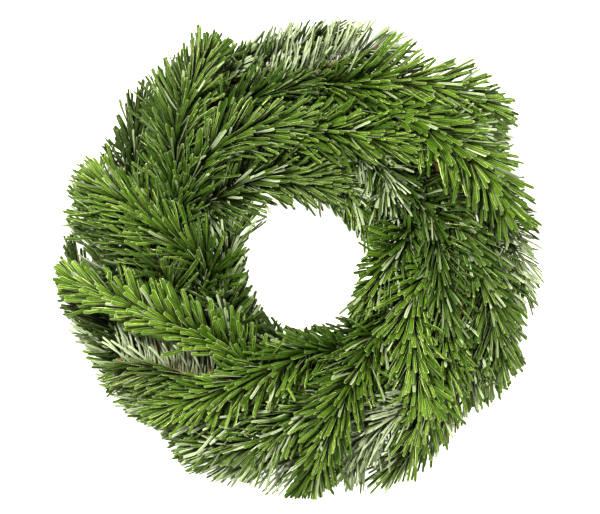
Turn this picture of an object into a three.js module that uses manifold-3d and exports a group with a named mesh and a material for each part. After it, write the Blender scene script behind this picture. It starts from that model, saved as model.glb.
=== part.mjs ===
// A fresh evergreen wreath: fir sprigs bound with wire on a straw ring.
// Millimetres, +Z up. The origin is the centre of the ring on the surface that the wreath lies on.
// A clock angle runs clockwise from the top of the wreath (+Y) as seen from above.
import * as THREE from "three";
import { mergeVertices } from "three/addons/utils/BufferGeometryUtils.js";
import Module from "manifold-3d";

// Straw ring
const RING_RADIUS = 93;
const STRAW_RADIUS = 17.5;
const STRAW_HEIGHT = 16.5;
const STRAW_SIDES = 12;
const RING_COLUMNS = 42;

// Binding wire: one turn for each station, where one inner, one top and one outer sprig are bound
const STATIONS = 14;
const WIRE_RADIUS = 0.45;
const WIRE_SIDES = 3;
const GROOVE_DEPTH = 1.6;
const GROOVE_WIDTH = 1.9;
const GROOVE_LENGTH = 24;

// Sprigs
const GAP = 0.3;
const TWIG_RADIUS = 1.7;
const TWIG_END_RADIUS = 1.2;
const TWIG_SIDES = 3;
const BAND = 5;
const BAND_TWIST = THREE.MathUtils.degToRad(72);
const BOUND_LENGTH = 18;
const BARE_LENGTH = 22;
const BARE_BANDS = 4;
const BUD_LENGTH = 4;
const BRUSH_REACH = 13;

// Needles
const NEEDLE_LENGTH = 22;
const NEEDLE_WIDTH = 2.3;
const NEEDLE_THICKNESS = 0.75;
const NEEDLES_PER_BAND = 2;
const GOLDEN_ANGLE = THREE.MathUtils.degToRad(137.5);
const ANGLE_AT_BASE = THREE.MathUtils.degToRad(56);
const ANGLE_AT_TIP = THREE.MathUtils.degToRad(30);
const ANGLE_SPREAD = 0.2;
const LENGTH_SPREAD = 0.28;
const ROLL_SPREAD = 1;
const TIP_SHORTENING = 0.15;
const SIDEWAYS_BRUSH = 0.75;
const UPWARD_BRUSH = 0.12;
const LEAST_LIFT = 0.25;
const ROOT_CONTACT = 0.02;
const TIP_ZONE = 0.7;
const FLATNESS = 0.01;

// Space that the needles keep to
const HOLE = { x: 2, y: -7, radius: 34 };
const OPENING = { left: -22.5, right: 26.5, bottom: -35.5, top: 21.5 };
const OPENING_HEADINGS = 24;
const REACH = { x: 149, y: 147 };
const FLOOR_CLEARANCE = 1.2;
const STRAW_SAMPLES = 6;

// Where a sprig is bound on the straw: an angle round the straw's section from its outer side, how far
// the wire has gone round the section there, and the gap between twig and straw
const SEATS = {
  outer: { angle: 5, turn: -0.22, gap: 0.15 },
  top: { angle: 90, turn: 0, gap: 0.15 },
  inner: { angle: 165, turn: 0.22, gap: 0.5 },
};

// The wire's route round the section: angle from the outer side, distance from the section's centre
const WIRE_ROUTE = [
  [-32, 19.2, -0.33],
  [5, 22.5, -0.22],
  [38, 19, -0.14],
  [62, 19, -0.07],
  [90, 22.5, 0],
  [118, 19, 0.07],
  [142, 19, 0.14],
  [165, 22.8, 0.22],
  [212, 19.2, 0.33],
];
const WIRE_UNDERSIDE = { reach: 9.8, height: 0.85, turn: 0.43 };

const TONES = {
  bright: new THREE.MeshStandardMaterial({ color: 0x6f9a3a, roughness: 0.42, metalness: 0 }),
  mid: new THREE.MeshStandardMaterial({ color: 0x4f7f33, roughness: 0.45, metalness: 0 }),
  dark: new THREE.MeshStandardMaterial({ color: 0x2f5a2a, roughness: 0.5, metalness: 0 }),
  silver: new THREE.MeshStandardMaterial({ color: 0xa3b79a, roughness: 0.6, metalness: 0 }),
};
const STRAW = new THREE.MeshStandardMaterial({ color: 0xc9ad6a, roughness: 0.85, metalness: 0 });
const WIRE = new THREE.MeshStandardMaterial({ color: 0x2c4a2e, roughness: 0.35, metalness: 0.6 });

// Every sprig from the ones on top down: name, station and seat where it is bound, three places that it
// passes (where it comes out of the binding, its middle and its furthest needle tips), and its tone
const SPRIGS = [
  ["left_bright", 7, "top", [-38, -58, 50], [-84, -36, 60], [-143, -12, 40], "bright"],
  ["right_big", 0, "top", [57, 87, 50], [97, 64, 60], [129, 24, 44], "bright"],
  ["bottom_left_herring", 5, "inner", [6, -56, 44], [-25, -70, 56], [-86, -92, 48], "bright"],
  ["bottom_bright", 3, "inner", [42, -54, 46], [22, -91, 60], [3, -143, 34], "bright"],
  ["topleft_sweep", 10, "inner", [-70, 36, 50], [-49, 67, 60], [4, 84, 58], "mid"],
  ["topleft_tall", 10, "top", [-76, 36, 48], [-72, 80, 58], [-52, 134, 36], "mid"],
  ["topright_long", 0, "outer", [16, 104, 44], [60, 106, 54], [122, 92, 34], "bright"],
  ["top_inner_bright", 12, "inner", [4, 76, 50], [34, 74, 58], [70, 66, 56], "bright"],
  ["right_bright_down", 3, "top", [68, -22, 52], [68, -56, 58], [78, -92, 54], "bright"],
  ["left_upper_bright", 9, "inner", [-56, -8, 46], [-86, 20, 56], [-129, 52, 36], "bright"],
  ["hole_right", 2, "inner", [64, 12, 42], [51, -6, 46], [35, -34, 36], "bright"],
  ["bottomright_mid", 4, "top", [86, -58, 42], [76, -88, 44], [62, -116, 38], "bright"],
  ["right_mid_dark", 1, "inner", [78, 26, 48], [83, -6, 52], [88, -46, 48], "mid"],
  ["right_lower_outer", 2, "top", [93, 20, 42], [112, -20, 44], [124, -70, 26], "mid"],
  ["bottom_lower", 5, "top", [22, -80, 42], [-18, -107, 46], [-70, -114, 32], "mid"],
  ["top_silver_long", 13, "top", [-6, 104, 42], [23, 119, 40], [58, 131, 24], "silver"],
  ["left_silver", 8, "top", [-56, -74, 40], [-82, -66, 42], [-122, -62, 30], "silver"],
  ["top_knot", 12, "top", [-52, 82, 42], [-32, 94, 48], [4, 104, 50], "mid"],
  ["top_hang_silver", 0, "inner", [41, 63, 42], [51, 48, 46], [52, 28, 42], "silver"],
  ["top_inner_arc", 11, "inner", [-52, 36, 40], [-26, 49, 46], [21, 43, 40], "dark"],
  ["left_mid", 9, "top", [-80, -10, 51], [-112, 20, 42], [-134, 44, 26], "mid"],
  ["right_upper_mid", 1, "top", [62, 82, 38], [88, 80, 42], [116, 76, 30], "mid"],
  ["bottom_silver", 5, "outer", [60, -93, 40], [38, -108, 36], [26, -134, 24], "silver"],
  ["hole_left", 8, "inner", [-45, -42, 36], [-46, -12, 37], [-38, 30, 33], "silver"],
  ["left_gap_dark", 7, "inner", [-50, -26, 24], [-70, -13, 32], [-112, -6, 46], "dark"],
  ["left_bottom_fan", 7, "outer", [-33, -112, 24], [-79, -93, 20], [-114, -71, 13], "mid"],
  ["bottom_left_fill", 6, "top", [-22, -92, 45], [-58, -96, 38], [-95, -90, 24], "dark"],
  ["topleft_outer", 11, "outer", [-101, 56, 24], [-102, 74, 18], [-94, 99, 13], "dark"],
  ["topleft_fill", 11, "top", [-76, 58, 44], [-79, 87, 38], [-77, 116, 24], "mid"],
  ["top_back_left", 12, "outer", [-68, 96, 24], [-50, 112, 18], [-24, 129, 13], "dark"],
  ["top_silver_left", 13, "outer", [-19, 116, 24], [-2, 126, 24], [26, 140, 17], "silver"],
  ["right_tip_silver", 1, "outer", [79, 88, 24], [100, 80, 20], [121, 68, 14], "silver"],
  ["right_outer", 2, "outer", [109, 44, 24], [127, 14, 20], [137, -26, 14], "silver"],
  ["right_lower_dark", 3, "outer", [118, -7, 24], [119, -46, 20], [110, -82, 14], "dark"],
  ["bottomright_under", 4, "outer", [103, -57, 24], [82, -98, 18], [52, -134, 13], "dark"],
  ["bottom_outer_under", 6, "outer", [19, -116, 24], [-28, -122, 18], [-70, -118, 13], "silver"],
  ["left_outer_low", 9, "outer", [-109, -45, 24], [-126, -26, 18], [-144.4, 2, 13], "dark"],
  ["left_low", 8, "outer", [-79, -87, 24], [-106, -65, 18], [-131, -40, 13], "mid"],
  ["left_rim", 10, "outer", [-118, 7, 24], [-125, 26, 18], [-127, 49, 13], "dark"],
  ["hole_top_right", 13, "inner", [8, 55, 30], [33, 38, 30], [44, 10, 28], "mid"],
  ["hole_bottom", 4, "inner", [46, -44, 26], [24, -52, 26], [-4, -50, 24], "dark"],
  ["hole_bottom_left", 6, "inner", [-4, -56, 32], [-21, -51, 33], [-38, -37, 34], "dark"],
];

// Numbers between 0 and 1 in a fixed order for a seed
function seeded(seed) {
  let state = seed * 2654435761;
  return () => {
    state = (state + 0x6d2b79f5) | 0;
    let t = Math.imul(state ^ (state >>> 15), 1 | state);
    t = (t + Math.imul(t ^ (t >>> 7), 61 | t)) ^ t;
    return ((t ^ (t >>> 14)) >>> 0) / 4294967296;
  };
}

// A point at a clock angle, a distance from the wreath's axis and a height
function atClock(clock, radius, height) {
  return new THREE.Vector3(radius * Math.sin(clock), radius * Math.cos(clock), height);
}

// A point round the straw's section: its angle from the outer side and its distance from the section's centre
function onSection(clock, angle, distance) {
  const radius = RING_RADIUS + distance * Math.cos(angle);
  return atClock(clock, radius, STRAW_HEIGHT + distance * Math.sin(angle));
}

// Convex pieces are kept for the clearance test: whose they are, the band of a twig that they stand for
// (none for a needle), their corners, their faces' normals and their edges' directions
const CELL = 12;
const SHORTEST_AXIS = 1e-6;
const grid = new Map();

function convexPiece(owner, band, corners, normals, edges) {
  const box = new THREE.Box3().setFromPoints(corners);
  return { owner, band, corners, normals, edges, box };
}

function cellsOf(box) {
  const keys = [];
  const low = box.min.clone().divideScalar(CELL).floor();
  const high = box.max.clone().divideScalar(CELL).floor();
  for (let i = low.x; i <= high.x; i++) {
    for (let j = low.y; j <= high.y; j++) {
      for (let k = low.z; k <= high.z; k++) keys.push(`${i} ${j} ${k}`);
    }
  }
  return keys;
}

function register(piece) {
  for (const key of cellsOf(piece.box)) {
    if (!grid.has(key)) grid.set(key, []);
    grid.get(key).push(piece);
  }
}

// The distance that a direction proves between two pieces; less than zero where it proves none
function separation(a, b, axis) {
  const length = axis.length();
  if (length < SHORTEST_AXIS) return -Infinity;
  let lowA = Infinity;
  let highA = -Infinity;
  let lowB = Infinity;
  let highB = -Infinity;
  for (const corner of a.corners) {
    const along = corner.dot(axis);
    lowA = Math.min(lowA, along);
    highA = Math.max(highA, along);
  }
  for (const corner of b.corners) {
    const along = corner.dot(axis);
    lowB = Math.min(lowB, along);
    highB = Math.max(highB, along);
  }
  return Math.max(lowB - highA, lowA - highB) / length;
}

function isClear(a, b, gap) {
  for (const normal of a.normals) {
    if (separation(a, b, normal) >= gap) return true;
  }
  for (const normal of b.normals) {
    if (separation(a, b, normal) >= gap) return true;
  }
  const axis = new THREE.Vector3();
  for (const edgeA of a.edges) {
    for (const edgeB of b.edges) {
      axis.crossVectors(edgeA, edgeB);
      if (separation(a, b, axis) >= gap) return true;
    }
  }
  return false;
}

// The way from the binding through a sprig's places, as points one band apart
function sprigPath([, station, seat, leaves, middle, tip]) {
  const { angle, turn, gap } = SEATS[seat];
  const section = THREE.MathUtils.degToRad(angle);
  const clock = ((station + turn) / STATIONS) * 2 * Math.PI;
  const distance = STRAW_RADIUS + gap + TWIG_RADIUS;
  const half = BOUND_LENGTH / 2 / (RING_RADIUS + distance * Math.cos(section));
  const bound = [-half, 0, half].map((step) => onSection(clock + step, section, distance));
  const places = [leaves, middle, tip].map((place) => new THREE.Vector3(...place));
  const curve = new THREE.CatmullRomCurve3([...bound, ...places], false, "centripetal");
  const whole = curve.getLength();
  const leafy = whole - BRUSH_REACH - BARE_LENGTH;
  const bands = Math.round(leafy / BAND);
  const points = [];
  for (let i = 0; i < BARE_BANDS; i++) {
    points.push(curve.getPointAt((i * BARE_LENGTH) / BARE_BANDS / whole));
  }
  for (let i = 0; i <= bands; i++) {
    points.push(curve.getPointAt((BARE_LENGTH + (i * leafy) / bands) / whole));
  }
  return points;
}

// The heading from the opening that a path keeps to, and how far out along it the opening reaches
function openSide(path) {
  const { left, right, bottom, top } = OPENING;
  let best = null;
  for (let i = 0; i < OPENING_HEADINGS; i++) {
    const angle = (i / OPENING_HEADINGS) * 2 * Math.PI;
    const heading = new THREE.Vector3(Math.cos(angle), Math.sin(angle), 0);
    const across = Math.max(heading.x * left, heading.x * right);
    const edge = across + Math.max(heading.y * bottom, heading.y * top);
    const clearance = Math.min(...path.map((point) => point.dot(heading))) - edge;
    if (!best || clearance > best.clearance) best = { heading, edge, clearance };
  }
  return best;
}

// Frames along a path that turn with it and don't spin: forward, side and up
function pathFrames(points) {
  const frames = [];
  let side = new THREE.Vector3(0, 0, 1);
  for (let i = 0; i < points.length; i++) {
    const before = points[Math.max(i - 1, 0)];
    const after = points[Math.min(i + 1, points.length - 1)];
    const forward = after.clone().sub(before).normalize();
    side = side.clone().addScaledVector(forward, -side.dot(forward)).normalize();
    frames.push({ forward, side, up: forward.clone().cross(side) });
  }
  return frames;
}

// The twig: rings of corners along the path, each one turned on from the last, so that its faces
// look every way, with a short bud at the end
function buildTwig(path) {
  const frames = pathFrames(path);
  const corners = [];
  path.forEach((centre, i) => {
    const share = i / (path.length - 1);
    const radius = THREE.MathUtils.lerp(TWIG_RADIUS, TWIG_END_RADIUS, share);
    for (let j = 0; j < TWIG_SIDES; j++) {
      const angle = i * BAND_TWIST + (j / TWIG_SIDES) * 2 * Math.PI;
      const corner = centre.clone();
      corner.addScaledVector(frames[i].side, radius * Math.cos(angle));
      corner.addScaledVector(frames[i].up, radius * Math.sin(angle));
      corners.push(corner);
    }
  });
  const end = path.at(-1).clone().addScaledVector(frames.at(-1).forward, BUD_LENGTH);
  corners.push(end);
  const faces = [];
  const last = path.length - 1;
  for (let i = 0; i < last; i++) {
    for (let j = 0; j < TWIG_SIDES; j++) {
      const here = i * TWIG_SIDES + j;
      const next = i * TWIG_SIDES + ((j + 1) % TWIG_SIDES);
      faces.push({ band: i, corners: [here, next, here + TWIG_SIDES] });
      faces.push({ band: i, corners: [next, next + TWIG_SIDES, here + TWIG_SIDES] });
    }
  }
  faces.push({ band: -1, corners: [2, 1, 0] });
  for (let j = 0; j < TWIG_SIDES; j++) {
    const here = last * TWIG_SIDES + j;
    const next = last * TWIG_SIDES + ((j + 1) % TWIG_SIDES);
    faces.push({ band: last, corners: [here, next, corners.length - 1] });
  }
  return { path, frames, corners, faces, side: openSide(path) };
}

// The twig's bands as convex pieces
function twigPieces(owner, twig) {
  const pieces = [];
  for (let i = 0; i < twig.path.length - 1; i++) {
    const corners = twig.corners.slice(i * TWIG_SIDES, (i + 2) * TWIG_SIDES);
    const normals = twig.faces
      .filter((face) => face.band === i)
      .map((face) => faceNormal(twig.corners, face.corners));
    const edges = [twig.frames[i].forward];
    for (let j = 0; j < TWIG_SIDES; j++) {
      edges.push(corners[j].clone().sub(corners[(j + 1) % TWIG_SIDES]).normalize());
      edges.push(corners[j].clone().sub(corners[TWIG_SIDES + j]).normalize());
    }
    pieces.push(convexPiece(owner, i, corners, normals, edges));
  }
  return pieces;
}

function faceNormal(corners, [a, b, c]) {
  const ab = corners[b].clone().sub(corners[a]);
  const ac = corners[c].clone().sub(corners[a]);
  return ab.cross(ac).normalize();
}

// The three corners of a needle's blunt tip, in the order that joins the root's corners without a twist
function needleTip(root, direction, length, roll) {
  const centre = root[0].clone().add(root[1]).add(root[2]).divideScalar(3);
  centre.addScaledVector(direction, length);
  const wide = direction.clone().cross(new THREE.Vector3(0, 0, 1)).normalize();
  wide.applyAxisAngle(direction, roll);
  const high = wide.clone().cross(direction);
  const triangle = [
    centre.clone().addScaledVector(wide, NEEDLE_WIDTH / 2),
    centre.clone().addScaledVector(wide, -NEEDLE_WIDTH / 2),
    centre.clone().addScaledVector(high, NEEDLE_THICKNESS),
  ];
  const turned = triangle[1].clone().sub(triangle[0]).cross(triangle[2].clone().sub(triangle[0]));
  if (turned.dot(direction) < 0) triangle.reverse();
  let best = null;
  for (let shift = 0; shift < 3; shift++) {
    const order = [0, 1, 2].map((i) => triangle[(i + shift) % 3]);
    const travel = order.reduce((sum, corner, i) => {
      const step = corner.clone().sub(root[i]);
      step.addScaledVector(direction, -step.dot(direction));
      return sum + step.lengthSq();
    }, 0);
    if (!best || travel < best.travel) best = { travel, order };
  }
  return best.order;
}

// The triangles of a needle's sides, from its root's corners 0, 1, 2 to its tip's corners 3, 4, 5
function needleSides(corners) {
  return [0, 1, 2].flatMap((i) => {
    const j = (i + 1) % 3;
    return outwardSplit(corners, i, j, j + 3, i + 3);
  });
}

// A four-cornered side as two triangles, split along the diagonal that stands out
function outwardSplit(corners, a, b, c, d) {
  const rise = corners[d].clone().sub(corners[a]).dot(faceNormal(corners, [a, b, c]));
  if (rise > 0) return [[a, b, d], [b, c, d]];
  return [[a, b, c], [a, c, d]];
}

// True where no corner of a needle stands out past one of its sides, so that none of them cross
function isConvex(corners) {
  return needleSides(corners).every((side) => {
    const normal = faceNormal(corners, side);
    return corners.every((corner) => corner.clone().sub(corners[side[0]]).dot(normal) < FLATNESS);
  });
}

function needlePiece(owner, root, tip, direction) {
  const corners = [...root, ...tip];
  const normals = [direction];
  const edges = [];
  for (let i = 0; i < 3; i++) {
    const j = (i + 1) % 3;
    const long = tip[i].clone().sub(root[i]).normalize();
    const across = tip[j].clone().sub(tip[i]).normalize();
    const rootEdge = root[j].clone().sub(root[i]).normalize();
    normals.push(across.clone().cross(long).normalize());
    normals.push(rootEdge.clone().cross(long).normalize());
    edges.push(long, across, rootEdge);
  }
  const needle = convexPiece(owner, null, corners, normals, edges);
  const middle = root.map((corner, i) => corner.clone().lerp(tip[i], 0.5));
  needle.outer = { ...needle, corners: [...middle, ...tip] };
  return needle;
}

// True where a needle stays above the surface, out of the hole, on its sprig's side of the opening, inside
// the wreath's outline and off the straw
function keepsToSpace(root, tip, side) {
  for (const corner of tip) {
    if (corner.dot(side.heading) < side.edge) return false;
    if (corner.z < FLOOR_CLEARANCE) return false;
    if (Math.hypot(corner.x - HOLE.x, corner.y - HOLE.y) < HOLE.radius) return false;
    if (Math.abs(corner.x) > REACH.x || Math.abs(corner.y) > REACH.y) return false;
  }
  for (let i = 0; i < root.length; i++) {
    for (let step = 1; step <= STRAW_SAMPLES; step++) {
      const point = root[i].clone().lerp(tip[i], step / STRAW_SAMPLES);
      const offset = Math.hypot(point.x, point.y) - RING_RADIUS;
      if (Math.hypot(offset, point.z - STRAW_HEIGHT) < STRAW_RADIUS + 2 * GAP) return false;
    }
  }
  return true;
}

// True where a needle that grows from a band of its twig is clear of all that stands already. Needles of
// one sprig may touch at their roots but not past their middles, and a needle may touch its own band and
// the two next to it
function fits(needle, band) {
  const reach = needle.box.clone().expandByScalar(GAP);
  const seen = new Set();
  for (const key of cellsOf(reach)) {
    for (const other of grid.get(key) ?? []) {
      if (seen.has(other) || !reach.intersectsBox(other.box)) continue;
      seen.add(other);
      const kin = other.owner === needle.owner;
      if (kin && other.band !== null && Math.abs(other.band - band) <= 1) continue;
      const sisters = kin && other.band === null;
      if (!isClear(needle, other, sisters ? -ROOT_CONTACT : GAP)) return false;
      if (sisters && !isClear(needle.outer, other.outer, GAP)) return false;
    }
  }
  return true;
}

// Ways to bend a needle clear: change of its angle to the twig, turn round the twig, share of its length
const BENDS = [
  [0, 0, 1],
  [-8, 0, 1],
  [8, 0, 1],
  [0, 14, 1],
  [0, -14, 1],
  [-10, 14, 0.92],
  [-10, -14, 0.92],
  [8, 26, 0.92],
  [8, -26, 0.92],
  [-18, 0, 0.92],
  [-18, 24, 0.85],
  [-18, -24, 0.85],
  [0, 0, 0.75],
  [-14, 10, 0.7],
  [-14, -10, 0.7],
];

// One needle on a face of the twig, leaving forwards and outwards, and brushed to the sides as on a fir
function growNeedle(owner, twig, face, random) {
  const forward = twig.frames[face.band].forward;
  const share = face.band / (twig.path.length - 1);
  const ease = THREE.MathUtils.smoothstep(share, TIP_ZONE, 1);
  const middle = THREE.MathUtils.lerp(ANGLE_AT_BASE, ANGLE_AT_TIP, ease);
  const lean = middle + (random() - 0.5) * ANGLE_SPREAD;
  const normal = faceNormal(twig.corners, face.corners);
  const outward = normal.clone().addScaledVector(forward, -normal.dot(forward)).normalize();
  outward.z = outward.z * SIDEWAYS_BRUSH + UPWARD_BRUSH;
  outward.addScaledVector(forward, -outward.dot(forward)).normalize();
  const length = NEEDLE_LENGTH * (1 + (random() - 0.5) * LENGTH_SPREAD) * (1 - TIP_SHORTENING * ease);
  const roll = (random() - 0.5) * ROLL_SPREAD;
  const root = face.corners.map((i) => twig.corners[i]);
  for (const [leanStep, turnStep, lengthShare] of BENDS) {
    const angle = lean + THREE.MathUtils.degToRad(leanStep);
    const side = outward.clone().applyAxisAngle(forward, THREE.MathUtils.degToRad(turnStep));
    const direction = forward.clone().multiplyScalar(Math.cos(angle));
    direction.addScaledVector(side, Math.sin(angle));
    if (direction.dot(normal) < LEAST_LIFT) continue;
    const tip = needleTip(root, direction, length * lengthShare, roll);
    if (!isConvex([...root, ...tip]) || !keepsToSpace(root, tip, twig.side)) continue;
    const needle = needlePiece(owner, root, tip, direction);
    if (!fits(needle, face.band)) continue;
    register(needle);
    return tip;
  }
  return null;
}

// Faces that carry needles: in each band the ones nearest to the golden angle's next steps, and at the end
// all of them
function needleFaces(twig, owner) {
  const chosen = new Set();
  let turn = owner;
  for (let band = BARE_BANDS; band < twig.path.length; band++) {
    const faces = twig.faces.filter((face) => face.band === band);
    const wanted = band === twig.path.length - 1 ? TWIG_SIDES : NEEDLES_PER_BAND;
    const frame = twig.frames[band];
    for (let n = 0; n < wanted; n++) {
      const free = faces.filter((face) => !chosen.has(face));
      const heading = turn * GOLDEN_ANGLE;
      const target = frame.side.clone().multiplyScalar(Math.cos(heading));
      target.addScaledVector(frame.up, Math.sin(heading));
      free.sort(
        (a, b) =>
          faceNormal(twig.corners, b.corners).dot(target) -
          faceNormal(twig.corners, a.corners).dot(target),
      );
      chosen.add(free[0]);
      turn++;
    }
  }
  return chosen;
}

function growSprig(owner, twig) {
  const random = seeded(owner + 1);
  const carries = needleFaces(twig, owner);
  const corners = [...twig.corners];
  const triangles = [];
  for (const face of twig.faces) {
    const tip = carries.has(face) ? growNeedle(owner, twig, face, random) : null;
    if (!tip) {
      triangles.push(face.corners);
      continue;
    }
    const places = [...face.corners, corners.length, corners.length + 1, corners.length + 2];
    corners.push(...tip);
    for (const side of needleSides(places.map((i) => corners[i]))) {
      triangles.push(side.map((i) => places[i]));
    }
    triangles.push(places.slice(3));
  }
  return toGeometry(corners, triangles);
}

function toGeometry(corners, triangles) {
  const geometry = new THREE.BufferGeometry();
  const positions = corners.flatMap((corner) => corner.toArray());
  geometry.setAttribute("position", new THREE.Float32BufferAttribute(positions, 3));
  geometry.setIndex(triangles.flat());
  geometry.computeVertexNormals();
  return geometry;
}

// The wire's points: one turn round straw and twigs for each station, in one closed spiral
function wirePoints() {
  const points = [];
  for (let station = 0; station < STATIONS; station++) {
    const clockAt = (turn) => ((station + turn) / STATIONS) * 2 * Math.PI;
    const { reach, height, turn } = WIRE_UNDERSIDE;
    points.push({ at: atClock(clockAt(-turn), RING_RADIUS + reach, height), under: true });
    for (const [angle, distance, share] of WIRE_ROUTE) {
      const section = THREE.MathUtils.degToRad(angle);
      points.push({ at: onSection(clockAt(share), section, distance), under: false });
    }
    points.push({ at: atClock(clockAt(turn), RING_RADIUS - reach, height), under: true });
  }
  return points;
}

function buildWire(points) {
  const corners = [];
  const triangles = [];
  const count = points.length;
  const directions = points.map(({ at }, i) => {
    const before = points[(i + count - 1) % count].at;
    const after = points[(i + 1) % count].at;
    return after.clone().sub(before).normalize();
  });
  points.forEach(({ at, under }, i) => {
    const clock = Math.atan2(at.x, at.y);
    const centre = atClock(clock, RING_RADIUS, STRAW_HEIGHT);
    const away = under ? new THREE.Vector3(0, 0, -1) : at.clone().sub(centre);
    away.addScaledVector(directions[i], -away.dot(directions[i])).normalize();
    const side = directions[i].clone().cross(away);
    for (let j = 0; j < WIRE_SIDES; j++) {
      const angle = ((j + 0.5) / WIRE_SIDES) * 2 * Math.PI;
      const corner = at.clone().addScaledVector(away, WIRE_RADIUS * Math.cos(angle));
      corners.push(corner.addScaledVector(side, WIRE_RADIUS * Math.sin(angle)));
      const here = i * WIRE_SIDES + j;
      const next = i * WIRE_SIDES + ((j + 1) % WIRE_SIDES);
      const ahead = ((i + 1) % count) * WIRE_SIDES;
      triangles.push([here, next, ahead + j]);
      triangles.push([next, ahead + ((j + 1) % WIRE_SIDES), ahead + j]);
    }
  });
  return { corners, triangles, directions };
}

function wirePieces(wire) {
  const count = wire.directions.length;
  const pieces = [];
  for (let i = 0; i < count; i++) {
    const ahead = (i + 1) % count;
    const here = wire.corners.slice(i * WIRE_SIDES, (i + 1) * WIRE_SIDES);
    const next = wire.corners.slice(ahead * WIRE_SIDES, (ahead + 1) * WIRE_SIDES);
    const along = next[0].clone().sub(here[0]).normalize();
    const across = here[1].clone().sub(here[0]).normalize();
    const other = here[2].clone().sub(here[1]).normalize();
    const normals = [along.clone().cross(across), along.clone().cross(other)];
    pieces.push(convexPiece("wire", i, [...here, ...next], normals, [along, across, other]));
  }
  return pieces;
}

// The straw ring: a round section with a flat underside, and a groove under each turn of wire
function strawSection() {
  const half = Math.sqrt(STRAW_RADIUS ** 2 - STRAW_HEIGHT ** 2);
  const start = Math.atan2(-STRAW_HEIGHT, half);
  const sweep = 1.5 * Math.PI - start - (start + 0.5 * Math.PI);
  const section = [];
  for (let i = 0; i < STRAW_SIDES; i++) {
    const angle = start + (sweep * i) / (STRAW_SIDES - 1);
    const height = STRAW_HEIGHT + STRAW_RADIUS * Math.sin(angle);
    section.push(new THREE.Vector2(RING_RADIUS + STRAW_RADIUS * Math.cos(angle), height));
  }
  section.push(section[0].clone());
  return section;
}

const WELD = 1e-4;
const wasm = await Module();
wasm.setup();

function toSolid(geometry) {
  const bare = geometry.clone();
  bare.deleteAttribute("normal");
  bare.deleteAttribute("uv");
  const merged = mergeVertices(bare, WELD);
  return new wasm.Manifold(
    new wasm.Mesh({
      numProp: 3,
      vertProperties: merged.attributes.position.array,
      triVerts: new Uint32Array(merged.index.array),
    }),
  );
}

function fromSolid(solid) {
  const mesh = solid.getMesh();
  const geometry = new THREE.BufferGeometry();
  geometry.setAttribute("position", new THREE.BufferAttribute(mesh.vertProperties, 3));
  geometry.setIndex(new THREE.BufferAttribute(mesh.triVerts, 1));
  geometry.computeVertexNormals();
  return geometry;
}

function buildStraw(points) {
  const ring = new THREE.LatheGeometry(strawSection(), RING_COLUMNS);
  ring.rotateX(Math.PI / 2);
  let solid = toSolid(ring);
  const perTurn = points.length / STATIONS;
  for (let station = 0; station < STATIONS; station++) {
    const inner = points[station * perTurn + perTurn - 1].at;
    const outer = points[((station + 1) * perTurn) % points.length].at;
    const along = outer.clone().sub(inner);
    const groove = new THREE.BoxGeometry(GROOVE_LENGTH, GROOVE_WIDTH, 2 * GROOVE_DEPTH);
    groove.rotateZ(Math.atan2(along.y, along.x));
    const middle = inner.clone().add(outer).divideScalar(2);
    groove.translate(middle.x, middle.y, 0);
    solid = solid.subtract(toSolid(groove));
  }
  return fromSolid(solid);
}

function addMesh(group, name, geometry, material) {
  const mesh = new THREE.Mesh(geometry, material);
  mesh.name = name;
  group.add(mesh);
}

const wreath = new THREE.Group();
wreath.name = "fir_wreath";

const route = wirePoints();
const wire = buildWire(route);
wirePieces(wire).forEach(register);
addMesh(wreath, "straw_ring", buildStraw(route), STRAW);
addMesh(wreath, "binding_wire", toGeometry(wire.corners, wire.triangles), WIRE);

const twigs = SPRIGS.map((sprig) => buildTwig(sprigPath(sprig)));
twigs.forEach((twig, owner) => twigPieces(owner, twig).forEach(register));
SPRIGS.forEach(([name, , , , , , tone], owner) => {
  addMesh(wreath, `sprig_${name}`, growSprig(owner, twigs[owner]), TONES[tone]);
});

export default wreath;
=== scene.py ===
# %% [markdown]
# # A fresh fir wreath, seen from above
#
# Sprigs of fir are laid round a straw ring, one over the next, and bound on with green wire. The packed
# model already holds every piece at its true size, with few and simple needles. This lesson dresses each of
# its nodes with a finer piece in the same place: round twigs with bark and buds, flat notched needles with a
# green upper side and two pale bands below, loose stalks on the straw ring, and a round wire.

import math

import bpy
import numpy as np
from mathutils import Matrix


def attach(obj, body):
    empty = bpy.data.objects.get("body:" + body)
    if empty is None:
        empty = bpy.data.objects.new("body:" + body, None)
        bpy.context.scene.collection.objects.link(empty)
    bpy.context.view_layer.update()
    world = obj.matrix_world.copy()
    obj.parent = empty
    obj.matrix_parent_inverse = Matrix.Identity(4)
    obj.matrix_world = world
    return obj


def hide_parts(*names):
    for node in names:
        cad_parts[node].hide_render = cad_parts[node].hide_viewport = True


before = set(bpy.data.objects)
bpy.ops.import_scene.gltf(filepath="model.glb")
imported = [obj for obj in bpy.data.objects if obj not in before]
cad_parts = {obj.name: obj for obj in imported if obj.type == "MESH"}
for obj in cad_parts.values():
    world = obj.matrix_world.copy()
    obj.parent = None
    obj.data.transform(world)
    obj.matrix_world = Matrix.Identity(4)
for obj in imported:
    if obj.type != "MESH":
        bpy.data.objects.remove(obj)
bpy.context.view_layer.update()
MM = 0.001
print("nodes in the frame:", len(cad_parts))

# %% [markdown]
# ## The camera and the light
#
# The wreath lies flat and is seen from straight above, with its top edge away from the viewer. A long lens
# from 1.5 m away keeps the perspective weak. The light is plain studio light: a weak warm surround, a lamp at
# the upper left that is small enough for each needle to shade the next, and a wide and weaker one at the
# lower right that opens those shadows. One big soft lamp would be simpler, but the needles then melt into one
# another. A gamma below 1 deepens the middle tones.

# %% Camera
VIEW_WIDTH = 0.360
VIEW_CENTRE = (-0.0003, 0.0009)
SUBJECT_HEIGHT = 0.045
CAMERA_HEIGHT = 1.5
SENSOR_WIDTH = 36

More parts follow.
